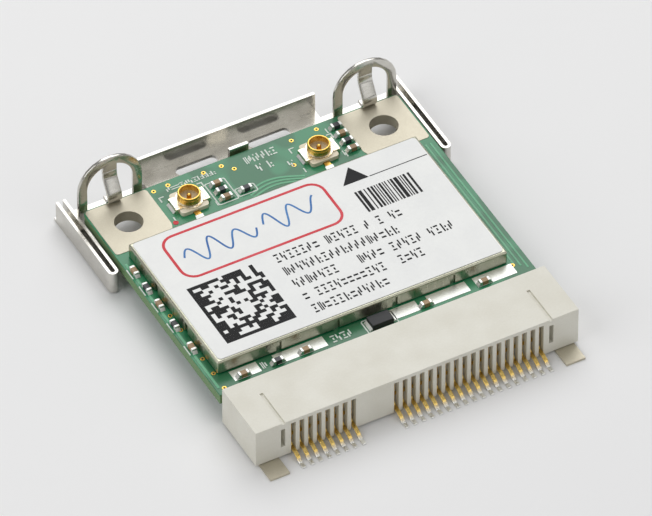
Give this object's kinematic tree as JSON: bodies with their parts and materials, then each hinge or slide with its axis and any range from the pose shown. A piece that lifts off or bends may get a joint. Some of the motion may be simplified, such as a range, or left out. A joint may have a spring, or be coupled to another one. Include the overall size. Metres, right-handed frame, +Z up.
{
  "type": "mini-card wireless adapter in its edge socket",
  "caption": "Half-length wireless card with a shield can and antenna jacks, seated in an ivory board edge socket and held down by a sprung metal latch.",
  "frame": {"origin": "bottom centre of the whole assembly, on the host board's face", "axes": "+X along the socket to the right, +Y from the socket towards the latch, +Z up from the host board"},
  "size_m": [0.0324, 0.0354, 0.0074],
  "materials": {
    "solder_mask": "glossy green solder mask on glass laminate",
    "gold": "gold plating",
    "tin": "matte tin plating",
    "shield_steel": "plated sheet steel",
    "label_film": "printed white film",
    "jack_plastic": "moulded high-temperature plastic",
    "epoxy": "moulded chip epoxy",
    "ceramic": "fired ceramic with tinned ends",
    "ivory_plastic": "moulded ivory liquid-crystal polymer",
    "spring_steel": "bright plated spring steel"
  },
  "bodies": {
    "socket": {"socket_housing": "ivory_plastic", "upper_contacts_short_bank": "gold", "upper_contacts_long_bank": "gold", "lower_contacts_short_bank": "gold", "lower_contacts_long_bank": "gold", "left_hold_down": "tin", "right_hold_down": "tin", "latch_base": "spring_steel"},
    "card": {"card_board": "solder_mask", "top_fingers_short_bank": "gold", "top_fingers_long_bank": "gold", "bottom_fingers_short_bank": "gold", "bottom_fingers_long_bank": "gold", "left_jack_shell": "gold", "right_jack_shell": "gold", "left_jack_pin": "gold", "right_jack_pin": "gold", "left_corner_pad": "tin", "right_corner_pad": "tin", "crystal": "tin", "shield_frame": "shield_steel", "shield_lid": "shield_steel", "label": "label_film", "left_jack_base": "jack_plastic", "right_jack_base": "jack_plastic", "radio_chip": "epoxy", "left_amplifier": "epoxy", "right_amplifier": "epoxy", "memory_chip": "epoxy", "power_inductor": "epoxy", "regulator_chip": "epoxy", "edge_filter": "epoxy", "rear_capacitor_1": "ceramic", "rear_capacitor_2": "ceramic", "rear_capacitor_3": "ceramic", "rear_capacitor_4": "ceramic", "jack_capacitor_1": "ceramic", "jack_capacitor_2": "ceramic", "jack_capacitor_3": "ceramic", "jack_capacitor_4": "ceramic", "side_capacitor_1": "ceramic", "side_capacitor_2": "ceramic", "side_capacitor_3": "ceramic", "side_capacitor_4": "ceramic", "side_capacitor_5": "ceramic", "edge_capacitor_1": "ceramic", "edge_capacitor_2": "ceramic", "edge_capacitor_3": "ceramic", "edge_capacitor_4": "ceramic", "edge_capacitor_5": "ceramic", "under_capacitor_1": "ceramic", "under_capacitor_2": "ceramic", "under_capacitor_3": "ceramic", "under_capacitor_4": "ceramic"},
    "left_latch": {"left_release_loop": "spring_steel", "left_hook_tongue": "spring_steel"},
    "right_latch": {"right_release_loop": "spring_steel", "right_hook_tongue": "spring_steel"}
  },
  "joints": [
    {"name": "card_tilt", "type": "hinge", "parent": "socket", "child": "card", "pos_m": [0, -0.0106, 0.00164], "axis": [1, 0, 0], "range_deg": [0, 20], "deforming": ["lower_contacts_short_bank", "lower_contacts_long_bank", "left_hook_tongue", "right_hook_tongue"]},
    {"name": "left_release", "type": "hinge", "parent": "socket", "child": "left_latch", "pos_m": [-0.0121, 0.0155, 0.00036], "axis": [-1, 0, 0], "range_deg": [0, 15], "stiffness_Nm_per_rad": 0.03},
    {"name": "right_release", "type": "hinge", "parent": "socket", "child": "right_latch", "pos_m": [0.0121, 0.0155, 0.00036], "axis": [-1, 0, 0], "range_deg": [0, 15], "stiffness_Nm_per_rad": 0.03}
  ]
}
